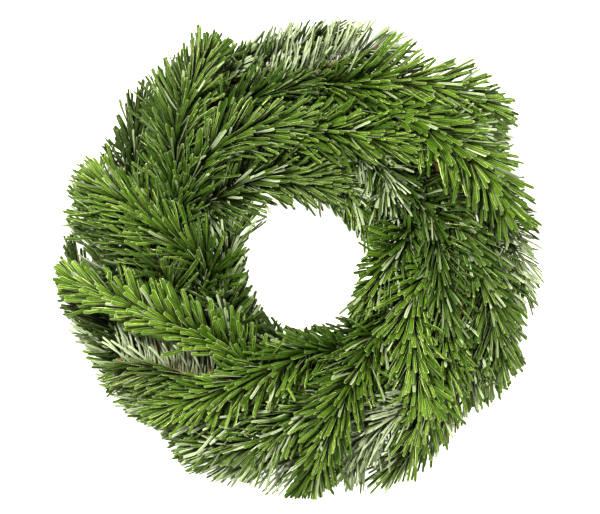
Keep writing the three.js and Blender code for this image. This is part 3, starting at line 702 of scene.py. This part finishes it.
# %% The habit of each sprig
HABITS = dict(
    left_bright=dict(width=1.04, lean=(30, 62), on_edge=0.12, loose=0.05),
    right_big=dict(lean=(32, 56), length=29, width=0.9, on_edge=0.15, shade=-0.1),
    bottom_left_herring=dict(
        per_mm=2.8, lean=(58, 36), parting=8, width=0.8, on_edge=0.15, shade=(0.1, -0.35),
    ),
    bottom_bright=dict(lean=44, shade=-0.2),
    topleft_sweep=dict(lean=42, on_edge=0.4, length=28, shade=0.12),
    topleft_tall=dict(shade=(-0.2, 0.1), length=27),
    topright_long=dict(per_mm=2.8, bare=19, lean=48, length=28, sweep=0.8, shade=-0.1),
    right_bright_down=dict(lean=40, width=0.92),
    left_upper_bright=dict(bare=24, lean=38, length=30, on_edge=0.35, sweep=0.7, shade=-0.2),
    hole_right=dict(per_mm=4.2, lean=(62, 66), on_edge=0.4, sweep=1.0, shade=-0.3),
    bottomright_mid=dict(crowd=3, shade=0.15),
    right_mid_dark=dict(
        per_mm=3.2, length=28, lean=(62, 38), bare=8, on_edge=0.6, sweep=0.9, width=0.7,
        shade=(-0.4, -0.3),
    ),
    top_inner_bright=dict(per_mm=3, sweep=0.9, shade=-0.15),
    bottom_lower=dict(lean=(38, 50), width=0.72, turned=(0.25, 0.05), shade=0.15),
    top_silver_long=dict(
        per_mm=2.6, lean=(56, 40), parting=(46, 30), loose=0.06, width=0.5, turned=(0.9, 0.15),
        shade=(0.1, -0.1),
    ),
    left_silver=dict(
        per_mm=2.4, length=28, lean=(42, 80), parting=(0, 40), sweep=0.2, loose=0.03, width=0.6, at_end=70,
        crowd=0, turned=(0.1, 1.0), shade=(0.6, 0.8),
    ),
    top_knot=dict(crowd=4, sweep=0.7, shade=-0.85),
    top_hang_silver=dict(per_mm=3.8, bare=10, width=0.6, sweep=0.9, turned=0.55, shade=-0.3),
    top_inner_arc=dict(per_mm=3.8, length=29, lean=62, sweep=0.9, shade=0.5),
    hole_top_right=dict(per_mm=4.2, bare=8, length=28, sweep=0.9, width=0.74, turned=0.2, shade=0.15),
    left_mid=dict(bare=46, on_edge=0.35, shade=(-0.1, 0.6)),
    bottom_silver=dict(per_mm=2.8, width=0.58, turned=0.9),
    hole_left=dict(per_mm=3.4, length=28, lean=56, sweep=0.9, at_end=42, turned=(0.4, 0.3)),
    left_gap_dark=dict(lean=66, parting=50, width=0.7, turned=0, shade=-1),
    left_bottom_fan=dict(per_mm=3, turned=0.5, shade=1),
    bottom_left_fill=dict(turned=0.3, shade=1),
    topleft_fill=dict(on_edge=0.4, width=0.7, turned=0, shade=-1),
    top_silver_left=dict(
        per_mm=3.4, lean=(56, 46), parting=(30, 25), width=0.54, turned=(0.45, 0.2), shade=-0.9,
    ),
    right_tip_silver=dict(width=0.66, turned=0.9, shade=1),
    right_outer=dict(
        per_mm=3, length=29, lean=(74, 60), width=0.52, on_edge=0.6, turned=(0.55, 0.2),
        shade=(-0.6, -0.7),
    ),
    right_lower_dark=dict(on_edge=0.35, turned=(0.25, 0.1), shade=0.15),
    bottomright_under=dict(on_edge=0.35, turned=(0.25, 0.1), shade=0.7),
    bottom_outer_under=dict(
        per_mm=3.2, lean=(60, 50), width=0.6, on_edge=0.5, turned=(0.6, 0.5), shade=0.7,
    ),
    left_low=dict(on_edge=0.4, turned=0.5, shade=1),
    left_rim=dict(turned=0.45, shade=0.9),
    hole_bottom=dict(sweep=0.8, turned=0, shade=-1),
    hole_bottom_left=dict(lean=60, shade=-1),
    right_lower_outer=dict(lean=(36, 50), on_edge=0.4, shade=-0.1),
    topleft_outer=dict(shade=-0.5),
    left_outer_low=dict(turned=0, shade=-1),
    right_upper_mid=dict(width=0.6, turned=(0.6, 0.25), shade=-0.1),
    top_back_left=dict(per_mm=3, turned=0.35, shade=0.6),
)
print("sprigs with a habit of their own:", len(HABITS))

# %% [markdown]
# ### The space that needles keep to
#
# The wreath's outline and its hole have lobes where sprigs end and notches where they part. Each edge is a
# short list of those, with even changes between them. A needle that was cut off there would lose its tip, so
# one that would pass the edge is made shorter or left out. For each needle the edge moves in or out a little,
# half as much at the hole, to be ragged. Tips also stay above the floor, inside the solids' box and out of
# the straw.

# %% The edges, as clockwise angles in degrees and radii in millimetres
OUTER_EDGE = [
    (0, 142), (10, 147.5), (25, 148), (31, 140), (44, 158), (56, 158), (63, 139), (75, 142.5), (90, 142),
    (97, 147), (105, 140.5), (115, 147.5), (125, 148), (134, 137), (150, 147.5), (160, 150), (170, 140),
    (180, 144.5), (193, 140.5), (205, 147.5), (220, 132), (230, 142), (244, 139.5), (255, 146), (265, 150.5),
    (275, 142), (290, 144.5), (302, 136), (315, 145), (325, 142), (335, 151.5), (345, 132), (355, 139),
]
HOLE_X, HOLE_Y = 1, -6
HOLE_EDGE = [
    (0, 35.5), (30, 34), (60, 40.5), (75, 41), (90, 32.5), (105, 31), (135, 38), (155, 35), (185, 37),
    (225, 33.5), (270, 34), (285, 36.5), (330, 37), (345, 39.5),
]
print("lobes and notches:", len(OUTER_EDGE), len(HOLE_EDGE))

# %% What keeps to the space
REACH_X, REACH_Y = 148.2, 145.9
LOWEST, HIGHEST = 1.6, 79.2
RAGGED, HOLE_SHARE = (-6, 3.5), 0.5
STRAW_GAP = 0.4


def edge_towards(edge, x, y):
    """The edge's radius towards each point."""
    clocks, radii = np.array(edge, float).T
    return np.interp(np.degrees(np.arctan2(x, y)) % 360, clocks, radii, period=360)


def short_of_edge(tips):
    return edge_towards(OUTER_EDGE, tips[:, 0], tips[:, 1]) - np.hypot(tips[:, 0], tips[:, 1])


def keeps_to_space(tips, ragged):
    x, y = tips[:, 0] - HOLE_X, tips[:, 1] - HOLE_Y
    clear = np.hypot(x, y) > edge_towards(HOLE_EDGE, x, y) + HOLE_SHARE * ragged
    clear &= short_of_edge(tips) > ragged
    clear &= (np.abs(tips[:, 0]) < REACH_X) & (np.abs(tips[:, 1]) < REACH_Y)
    clear &= (tips[:, 2] > LOWEST) & (tips[:, 2] < HIGHEST)
    offset = np.hypot(tips[:, 0], tips[:, 1]) - RING_RADIUS
    return clear & (np.hypot(offset, tips[:, 2] - STRAW_HEIGHT) > STRAW_RADIUS + STRAW_GAP)


print("raggedness of the edge, mm:", RAGGED)

# %% [markdown]
# ### The stand of the needles
#
# The needles of a sprig are worked out together: first their roots and the way outwards from the twig, then
# headings, lengths and bends, and last the facing of the upper side and the tone. Every value is drawn with
# some chance round its habit, because even rows look like a comb. Each sprig's draws start from a number of
# its own, so the wreath comes out the same each time.

# %% Roots, and the way outwards
END_SETBACK = 0.3
AROUND_SPREAD = 5
ROOT_OFFSET = 0.7


def side_value(turn, value):
    """The left or the right value of a pair for each needle, or the one value for all."""
    return np.where(turn < 0, *np.broadcast_to(value, 2))


def needle_roots(habit, way, reach, rng):
    bare = habit["bare"]
    count = round((reach - bare) * habit["per_mm"])
    shares = np.concatenate([(np.arange(count) + 0.5) / count, np.full(habit["crowd"], 1.0)])
    count = len(shares)
    distances = bare + shares * (reach - bare) - np.where(shares == 1, END_SETBACK, 0)
    ahead = unit(along_way(way, distances + 0.5) - along_way(way, distances - 0.5))
    side = unit(np.cross(ahead, UPWARDS))
    up = np.cross(side, ahead)
    turn = (np.degrees(np.arange(count) * GOLDEN_ANGLE + rng.uniform(0, 6)) + 180) % 360 - 180
    parting = side_value(turn, habit["parting"])
    opened = parting + (1 - parting / 180) * np.abs(turn)
    opened = np.where(opened > 90, 90 + habit["sweep"] * (opened - 90), opened)
    opened = opened + rng.normal(0, AROUND_SPREAD, count)
    around = np.radians(np.sign(turn) * opened)
    outward = side * np.sin(around)[:, None] + up * np.cos(around)[:, None]
    return shares, along_way(way, distances), ahead, turn, opened, around, outward


print("spread round the twig, degrees:", AROUND_SPREAD)

# %% Headings, lengths and bends
LEAN_ABOVE = 19
LEAN_SPREAD, END_SPREAD = 80, 8
CROWD_LEANS = (4, 26)
END_STARTS, END_RANGE = 0.72, 0.28
STRAY_SHARE, STRAY_LOOSE = 0.11, 0.4
LENGTH_SPREAD = (-0.2, 0.12)
SHORTER_AT_END, SHORTER_ABOVE = 0.12, 0.28
BEND_AHEAD, BEND_UP, BEND_SPREAD = 0.17, 0.02, 0.05


def needle_headings(habit, shares, ahead, turn, around, outward, rng):
    count, crowd = len(shares), habit["crowd"]
    ease = np.clip((shares - END_STARTS) / END_RANGE, 0, 1)
    ease = ease * ease * (3 - 2 * ease)
    aside = side_value(turn, habit["lean"])
    lean = LEAN_ABOVE + (aside - LEAN_ABOVE) * np.abs(np.sin(around))
    lean = lean + rng.normal(0, LEAN_SPREAD * habit["loose"], count)
    lean = lean * (1 - ease) + (habit["at_end"] + rng.normal(0, END_SPREAD, count)) * ease
    lean[count - crowd:] = rng.uniform(*CROWD_LEANS, crowd)
    lean = np.radians(lean)[:, None]
    stray = np.where(rng.random(count) < STRAY_SHARE, STRAY_LOOSE, habit["loose"])[:, None]
    headings = ahead * np.cos(lean) + outward * np.sin(lean)
    headings = unit(headings + stray * rng.standard_normal((count, 3)))
    lengths = habit["length"] * (1 + rng.uniform(*LENGTH_SPREAD, count)) * (1 - SHORTER_AT_END * ease)
    lengths = lengths * (1 - SHORTER_ABOVE * np.clip(np.cos(around), 0, 1))
    bends = ahead - (ahead * headings).sum(-1, keepdims=True) * headings
    bends = BEND_AHEAD * bends + BEND_UP * UPWARDS + BEND_SPREAD * rng.standard_normal((count, 3))
    return headings, lengths, bends


print("share of strays:", STRAY_SHARE)

# %% Upper sides and tones
FACE_OUT, FACE_SPREAD, EDGE_SPREAD = 0.35, 0.4, 0.3
ON_EDGE_UP = 0.45
TURNED_AHEAD, TURNED_DOWN = 0.6, 0.8
# Painted shade: needles below the twig and near the sprig's base get a deeper tone
BELOW_STARTS, BELOW_RANGE = 70, 50
BASE_SHARE = 0.4
# Tones: the middle one, then the shares of the sprig's painted light and shade, of the painted shade below
# the twig and of that near the base
GREEN_TONE, WAX_TONE = (0.66, 1.0, 0.55, 0.45), (0.8, 0.5, 0.3, 0.3)
TONE_SPREAD = 0.27


def upper_sides(habit, ahead, turn, outward, rng):
    count = len(turn)
    uppers = UPWARDS + FACE_OUT * outward + FACE_SPREAD * rng.standard_normal((count, 3))
    turned = rng.random(count) < side_value(turn, habit["turned"])
    on_edge = rng.random(count) < habit["on_edge"]
    edge_up = ahead + EDGE_SPREAD * rng.standard_normal((count, 3))
    uppers = np.where(on_edge[:, None], edge_up + ON_EDGE_UP * UPWARDS, uppers)
    return np.where(turned[:, None], TURNED_AHEAD * edge_up - TURNED_DOWN * UPWARDS, uppers), turned


def needle_tones(habit, shares, turn, opened, turned, rng):
    """Tones with painted shade for needles from below the twig and near its base, and each sprig's painted
    light and shade.
    """
    below = np.clip((opened - BELOW_STARTS) / BELOW_RANGE, 0, 1)
    base = np.clip(1 - shares / BASE_SHARE, 0, 1)
    shade = side_value(turn, habit["shade"])

    def tone(middle, by_shade, by_below, by_base):
        return middle + by_shade * shade - by_below * below - by_base * base

    tones = np.where(turned, tone(*WAX_TONE), tone(*GREEN_TONE))
    return np.clip(tones + TONE_SPREAD * rng.standard_normal(len(turn)), 0, 1)


def stand_of_needles(habit, way, reach, rng):
    shares, roots, ahead, turn, opened, around, outward = needle_roots(habit, way, reach, rng)
    headings, lengths, bends = needle_headings(habit, shares, ahead, turn, around, outward, rng)
    uppers, turned = upper_sides(habit, ahead, turn, outward, rng)
    tones = needle_tones(habit, shares, turn, opened, turned, rng)
    return roots + ROOT_OFFSET * outward, headings, uppers, lengths, bends, tones


print("tones of a sprig vary by:", TONE_SPREAD)

# %% [markdown]
# ### Fitting the lengths
#
# Near the outer edge a needle may grow by up to a quarter to reach a lobe, and anywhere it may shrink to half
# before it is left out. The first length that fits, from the longest down, is kept.

# %% Fitting the lengths
NEAR_EDGE = 9
SHARES_TRIED = (1.24, 1.16, 1.08, 1.0, 0.88, 0.76, 0.64, 0.52)


def fit_lengths(roots, headings, bends, lengths, ragged):
    """Lengths that keep to the wreath's space, and which needles can keep to it."""
    kept = np.zeros(len(roots), bool)
    fitted = lengths.copy()
    near_edge = short_of_edge(roots + lengths[:, None] * (headings + bends)) < NEAR_EDGE
    for share in SHARES_TRIED:
        tips = roots + (share * lengths)[:, None] * (headings + bends)
        half = roots + (share * lengths)[:, None] * (0.5 * headings + 0.25 * bends)
        fits = keeps_to_space(tips, ragged) & (half[:, 2] > LOWEST) & ~kept
        if share > 1:
            fits &= near_edge
        fitted[fits] = share * lengths[fits]
        kept |= fits
    return fitted, kept


print("longest and shortest share:", SHARES_TRIED[0], SHARES_TRIED[-1])

# %% [markdown]
# ## Making the sprigs
#
# Each sprig is one piece, as it is one plant: twig, buds and needles. It takes the finish for its tint,
# rides on the wreath's only body and replaces its node. On one sprig a single needle is bent back into the
# hole, so it is added by its root and its tip.

# %% One sprig
WIDTH_SPREAD = 0.12
FIRST_DRAW = 1000
BENT_BACK, BENT_AT, BENT_TIP = "hole_right", 66.0, np.array([34.5, 9.9, 42.0])
BENT_WIDTH, BENT_TONE = 0.55, 0.0


def add_bent_needle(pile, way):
    root = along_way(way, [BENT_AT])[0]
    length = np.linalg.norm(BENT_TIP - root)
    needle = ((BENT_TIP - root) / length, UPWARDS, length, np.zeros(3), BENT_WIDTH, BENT_TONE)
    add_needles(pile, *(np.array([value]) for value in (root, *needle)))
    print("needle bent back from", root.round(1), "length, mm:", round(float(length), 1))


def make_sprig(index, name, tint):
    rng = np.random.default_rng(FIRST_DRAW + index)
    way = WAYS[name]
    reach = way_length(way) - BRUSH_REACH
    pile = Pile()
    path = add_twig(pile, way, reach, rng)
    habit = {**HABIT, **HABITS.get(name, {})}
    roots, headings, uppers, lengths, bends, tones = stand_of_needles(habit, way, reach, rng)
    count = len(roots)
    lengths, kept = fit_lengths(roots, headings, bends, lengths, rng.uniform(*RAGGED, count))
    widths = habit["width"] * (1 + rng.uniform(-WIDTH_SPREAD, WIDTH_SPREAD, count))
    needles = (roots, headings, uppers, lengths, bends, widths, tones)
    add_needles(pile, *(values[kept] for values in needles))
    if name == BENT_BACK:
        add_bent_needle(pile, way)
    add_buds(pile, path)
    piece = pile.make("fine_" + name, [NEEDLES[tint], BARK, BUD])
    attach(piece, "root")
    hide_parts("sprig_" + name)
    return int(kept.sum()), 2 * len(piece.data.polygons)


# %% All sprigs
made = {name: make_sprig(i, name, tint) for i, (name, *row, tint) in enumerate(SPRIGS)}
print("needles:", sum(n for n, t in made.values()), "triangles:", sum(t for n, t in made.values()))

# %% [markdown]
# ## The straw ring
#
# Under the sprigs lies a ring of pressed straw. It shows from below and deep between the sprigs, where a
# plain ring with a pattern would look smooth. So a dense body carries several hundred stalks, each a long
# flattened tube that slants a little round the section, as straw does when it is wound tight.


# %% Straw finish
def straw_finish():
    material, tree = new_material("straw")
    fibres = noise(tree, 900.0, 3.0)
    old, dry, pale = (0.30, 0.19, 0.06), (0.55, 0.40, 0.16), (0.72, 0.58, 0.30)
    colour = ramp(tree, carried(tree, "tone"), [(0.0, old), (0.5, dry), (1.0, pale)])
    colour = blend(tree, shades(tree, fibres, [(0.4, 0.0), (0.7, 0.5)]), colour, (0.24, 0.15, 0.05))
    give(tree, "Base Color", colour)
    give(tree, "Roughness", shades(tree, fibres, [(0.3, 0.5), (0.7, 0.75)]))
    give_relief(tree, fibres, 0.5, 0.0003)
    return material


STRAW = straw_finish()
print("finish:", STRAW.name)

# %% The body of the straw ring
BODY_INSET = 1.4
BODY_COLUMNS, BODY_SIDES = 96, 24
BODY_TONE = 0.25
STRAW_UNDERSIDE = 0.75


def in_ring(clock, angle, distance):
    """Points of the ring's section, with its flat underside."""
    radius = RING_RADIUS + distance * np.cos(angle)
    height = np.maximum(STRAW_HEIGHT + distance * np.sin(angle), STRAW_UNDERSIDE)
    return np.stack([radius * np.sin(clock), radius * np.cos(clock), height], axis=-1)


def add_straw_body(pile):
    clocks, angles = (np.arange(count) / count * 2 * math.pi for count in (BODY_COLUMNS, BODY_SIDES))
    clocks, angles = np.meshgrid(clocks, angles, indexing="ij")
    body = in_ring(clocks, angles, STRAW_RADIUS - BODY_INSET).reshape(-1, 3)
    pile.add(body, grid_faces(BODY_COLUMNS, BODY_SIDES, closed=True), tones=np.full(len(body), BODY_TONE))


print("body of straw, mm thick:", 2 * (STRAW_RADIUS - BODY_INSET))

# %% Straw ring
STALKS, STALK_DRAW = 330, 7
STALK_RADIUS = 1.5
STALK_POINTS, STALK_SIDES, STALK_SQUASH = 14, 6, 0.8
STALK_SPANS = (0.45, 1.0)
STALK_SLANT = 0.35
STALK_DEPTHS, STALK_SIZES, STALK_TONES = (0.62, 1.15), (0.5, 0.85), (0.2, 1)
STALK_LOWEST = 0.02


def add_stalk(pile, rng):
    span = rng.uniform(*STALK_SPANS)
    clock = rng.uniform(0, 2 * math.pi) + np.linspace(0, span, STALK_POINTS)
    angle = rng.uniform(0, 2 * math.pi) + rng.normal(0, STALK_SLANT) * np.linspace(0, 1, STALK_POINTS)
    way = in_ring(clock, angle, STRAW_RADIUS - STALK_RADIUS * rng.uniform(*STALK_DEPTHS))
    size = STALK_RADIUS * rng.uniform(*STALK_SIZES)
    corners, quads = tube(way, size, STALK_SIDES, squash=STALK_SQUASH)
    corners[:, 2] = np.maximum(corners[:, 2], STALK_LOWEST)
    pile.add(corners, quads, tones=np.full(len(corners), rng.uniform(*STALK_TONES)))


def make_straw():
    rng = np.random.default_rng(STALK_DRAW)
    pile = Pile()
    add_straw_body(pile)
    for _ in range(STALKS):
        add_stalk(pile, rng)
    piece = pile.make("straw_stalks", [STRAW])
    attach(piece, "root")
    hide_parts("straw_ring")
    print("straw triangles:", 2 * len(piece.data.polygons))


make_straw()

# %% [markdown]
# ## The binding wire
#
# One green lacquered wire winds round straw and twigs, one turn for each station. Its points repeat those of
# the solids, and a smooth way leads a round tube through them. It closes with one straight piece low in the
# straw, between the last station and the first.


# %% Wire finish
def wire_finish():
    material, tree = new_material("wire_lacquer")
    wear = noise(tree, 500.0, 3.0)
    give(tree, "Base Color", ramp(tree, wear, [(0.35, (0.014, 0.055, 0.02)), (0.7, (0.04, 0.11, 0.045))]))
    give(tree, "Roughness", shades(tree, wear, [(0.3, 0.28), (0.7, 0.45)]))
    set_value(tree, "Metallic", 0.35)
    return material


WIRE = wire_finish()
print("finish:", WIRE.name)

# %% The way of the wire: angle round the section, distance from its middle and part of a station further on
WIRE_ROUTE = [
    (-32, 19.2, -0.33), (5, 22.5, -0.22), (38, 19, -0.14), (62, 19, -0.07), (90, 22.5, 0),
    (118, 19, 0.07), (142, 19, 0.14), (165, 22.8, 0.22), (212, 19.2, 0.33),
]
UNDERSIDE_REACH, UNDERSIDE_HEIGHT, UNDERSIDE_TURN = 9.8, 0.85, 0.43


def under_ring(radius, clock):
    return np.array([radius * math.sin(clock), radius * math.cos(clock), UNDERSIDE_HEIGHT])


def wire_places():
    places = []
    for station in range(STATIONS):
        places.append(under_ring(RING_RADIUS + UNDERSIDE_REACH, clock_of(station - UNDERSIDE_TURN)))
        for angle, distance, turn in WIRE_ROUTE:
            places.append(on_section(clock_of(station + turn), math.radians(angle), distance))
        places.append(under_ring(RING_RADIUS - UNDERSIDE_REACH, clock_of(station + UNDERSIDE_TURN)))
    return np.array(places)


print("places on the wire:", len(wire_places()))

# %% Wire
WIRE_RADIUS = 0.405
WIRE_STEPS = 6


def make_wire():
    places = wire_places()
    way = smooth_way(np.vstack([places[-2:], places, places[:2]]), steps=WIRE_STEPS)
    way = way[2 * WIRE_STEPS:-3 * WIRE_STEPS]
    way[:, 2] = np.maximum(way[:, 2], UNDERSIDE_HEIGHT)
    pile = Pile()
    pile.add(*tube(way, WIRE_RADIUS, ROUND_SIDES, closed=True))
    piece = pile.make("wound_wire", [WIRE])
    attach(piece, "root")
    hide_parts("binding_wire")
    print("wire triangles:", 2 * len(piece.data.polygons))


make_wire()
